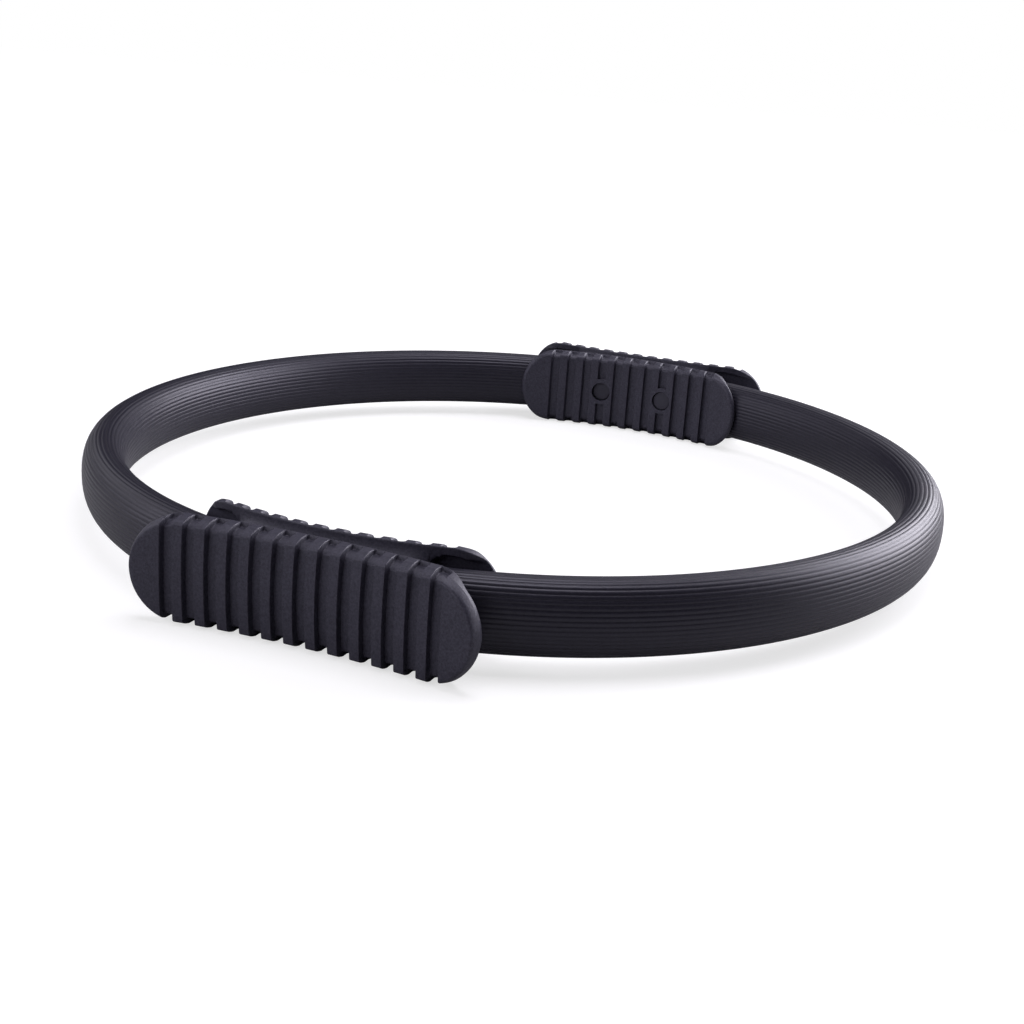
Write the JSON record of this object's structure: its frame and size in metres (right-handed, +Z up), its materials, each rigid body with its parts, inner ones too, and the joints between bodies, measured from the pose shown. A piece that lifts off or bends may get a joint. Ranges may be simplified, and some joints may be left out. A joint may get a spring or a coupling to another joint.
{
  "type": "pilates ring",
  "caption": "Flexible exercise ring: two sprung half hoops in ribbed sleeves, joined front and rear by clamped grips with grooved pads inside and out",
  "frame": {"origin": "The ring lies flat: the origin is the middle of the ring, on the surface that the grips stand on.", "axes": "+Y runs from the front grip to the rear grip, +X to the ring's right side, +Z up, square to the ring's plane."},
  "size_m": [0.356, 0.37, 0.0377],
  "materials": {
    "grip_rubber": "satin, fine-grained moulded rubber, charcoal with a violet cast",
    "sleeve_foam": "finely ribbed matt foam rubber, charcoal with a violet cast",
    "spring_band": "smooth glass-fibre laminate",
    "screw_steel": "plain turned steel",
    "insert_brass": "plain turned brass"
  },
  "bodies": {
    "front_grip": {"front_grip_outer_half": "grip_rubber", "front_grip_inner_half": "grip_rubber", "front_left_screw": "screw_steel", "front_right_screw": "screw_steel", "front_left_insert": "insert_brass", "front_right_insert": "insert_brass", "front_left_screw_cap": "grip_rubber", "front_right_screw_cap": "grip_rubber"},
    "rear_grip": {"rear_grip_outer_half": "grip_rubber", "rear_grip_inner_half": "grip_rubber", "rear_left_screw_cap": "grip_rubber", "rear_right_screw_cap": "grip_rubber"},
    "left_side": {"left_band": "spring_band", "left_sleeve": "sleeve_foam"},
    "right_side": {"right_band": "spring_band", "right_sleeve": "sleeve_foam"},
    "rear_left_fastening": {"rear_left_screw": "screw_steel", "rear_left_insert": "insert_brass"},
    "rear_right_fastening": {"rear_right_screw": "screw_steel", "rear_right_insert": "insert_brass"}
  },
  "joints": [
    {"name": "squeeze", "type": "slide", "parent": "front_grip", "child": "rear_grip", "axis": [0, -1, 0], "range_m": [-0.03, 0.07], "stiffness_N_per_m": 2200, "deforming": ["left_sleeve", "right_sleeve", "left_band", "right_band"]},
    {"name": "left_side_bow", "type": "slide", "parent": "front_grip", "child": "left_side", "axis": [-0.7399, -0.6727, 0], "range_m": [-0.0224, 0.0522], "deforming": ["left_sleeve", "left_band"]},
    {"name": "right_side_bow", "type": "slide", "parent": "front_grip", "child": "right_side", "axis": [0.7399, -0.6727, 0], "range_m": [-0.0224, 0.0522], "deforming": ["right_sleeve", "right_band"]},
    {"name": "rear_left_end_bow", "type": "slide", "parent": "left_side", "child": "rear_left_fastening", "axis": [0.7399, -0.6727, 0], "range_m": [-0.0224, 0.0522], "deforming": ["left_sleeve", "left_band"]},
    {"name": "rear_right_end_bow", "type": "slide", "parent": "right_side", "child": "rear_right_fastening", "axis": [-0.7399, -0.6727, 0], "range_m": [-0.0224, 0.0522], "deforming": ["right_sleeve", "right_band"]}
  ],
  "couplings": [
    {"joint": "left_side_bow", "follows": "squeeze", "ratio": 0.7433},
    {"joint": "right_side_bow", "follows": "squeeze", "ratio": 0.7433},
    {"joint": "rear_left_end_bow", "follows": "squeeze", "ratio": 0.7433},
    {"joint": "rear_right_end_bow", "follows": "squeeze", "ratio": 0.7433}
  ]
}
